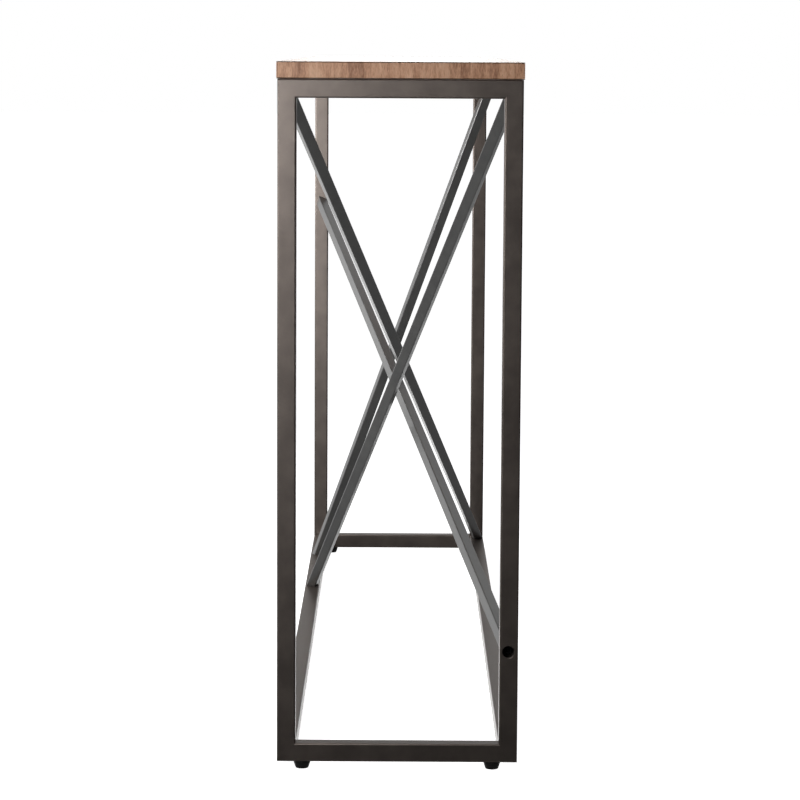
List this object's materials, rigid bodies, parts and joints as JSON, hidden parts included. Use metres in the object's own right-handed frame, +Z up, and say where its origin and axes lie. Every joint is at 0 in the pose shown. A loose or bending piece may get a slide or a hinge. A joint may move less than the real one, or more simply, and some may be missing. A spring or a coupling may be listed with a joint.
{
  "type": "console table",
  "caption": "Narrow console table: a wood-faced board on a welded square-tube frame, braced by slim tubes that cross it at different angles, on levelling feet.",
  "frame": {"origin": "on the floor, under the middle of the board", "axes": "+X along the table, +Y from its front to its back, +Z up"},
  "size_m": [1.402, 0.262, 0.762],
  "materials": {
    "wood_laminate": "satin wood-grain laminate, weathered grey-brown",
    "board_core": "raw particle board",
    "frame_coat": "satin gunmetal powder coat",
    "bar_coat": "satin gunmetal powder coat",
    "black_bolt": "black oxide",
    "zinc_steel": "bright zinc plate",
    "foot_nylon": "moulded black nylon"
  },
  "bodies": {
    "table": {"back_bottom_long_rail": "frame_coat", "back_top_long_rail": "frame_coat", "board_back_edge_band": "wood_laminate", "board_backing_laminate": "wood_laminate", "board_core": "board_core", "board_front_edge_band": "wood_laminate", "board_left_edge_band": "wood_laminate", "board_right_edge_band": "wood_laminate", "board_screw_back_1": "zinc_steel", "board_screw_back_2": "zinc_steel", "board_screw_back_3": "zinc_steel", "board_screw_back_4": "zinc_steel", "board_screw_front_1": "zinc_steel", "board_screw_front_2": "zinc_steel", "board_screw_front_3": "zinc_steel", "board_screw_front_4": "zinc_steel", "board_top_laminate": "wood_laminate", "cross_bar_end_to_end": "bar_coat", "cross_bar_end_to_end_high_bolt": "black_bolt", "cross_bar_end_to_end_high_plug": "zinc_steel", "cross_bar_end_to_end_low_bolt": "black_bolt", "cross_bar_end_to_end_low_plug": "zinc_steel", "cross_bar_full_length": "bar_coat", "cross_bar_full_length_high_bolt": "black_bolt", "cross_bar_full_length_high_plug": "zinc_steel", "cross_bar_full_length_low_bolt": "black_bolt", "cross_bar_full_length_low_plug": "zinc_steel", "cross_bar_short": "bar_coat", "cross_bar_short_high_bolt": "black_bolt", "cross_bar_short_high_plug": "zinc_steel", "cross_bar_short_low_bolt": "black_bolt", "cross_bar_short_low_plug": "zinc_steel", "cross_bar_two_thirds": "bar_coat", "cross_bar_two_thirds_high_bolt": "black_bolt", "cross_bar_two_thirds_high_plug": "zinc_steel", "cross_bar_two_thirds_low_bolt": "black_bolt", "cross_bar_two_thirds_low_plug": "zinc_steel", "foot_nut_left_back": "zinc_steel", "foot_nut_left_front": "zinc_steel", "foot_nut_right_back": "zinc_steel", "foot_nut_right_front": "zinc_steel", "front_bottom_long_rail": "frame_coat", "front_top_long_rail": "frame_coat", "left_back_upright": "frame_coat", "left_bottom_end_rail": "frame_coat", "left_front_upright": "frame_coat", "left_top_end_rail": "frame_coat", "right_back_upright": "frame_coat", "right_bottom_end_rail": "frame_coat", "right_front_upright": "frame_coat", "right_top_end_rail": "frame_coat"},
    "foot_left_front": {"foot_pad_left_front": "foot_nylon", "foot_stud_left_front": "zinc_steel"},
    "foot_left_back": {"foot_pad_left_back": "foot_nylon", "foot_stud_left_back": "zinc_steel"},
    "foot_right_front": {"foot_pad_right_front": "foot_nylon", "foot_stud_right_front": "zinc_steel"},
    "foot_right_back": {"foot_pad_right_back": "foot_nylon", "foot_stud_right_back": "zinc_steel"}
  },
  "joints": [
    {"name": "foot_left_front_height", "type": "slide", "parent": "table", "child": "foot_left_front", "axis": [0, 0, -1], "range_m": [0, 0.006]},
    {"name": "foot_left_back_height", "type": "slide", "parent": "table", "child": "foot_left_back", "axis": [0, 0, -1], "range_m": [0, 0.006]},
    {"name": "foot_right_front_height", "type": "slide", "parent": "table", "child": "foot_right_front", "axis": [0, 0, -1], "range_m": [0, 0.006]},
    {"name": "foot_right_back_height", "type": "slide", "parent": "table", "child": "foot_right_back", "axis": [0, 0, -1], "range_m": [0, 0.006]}
  ]
}
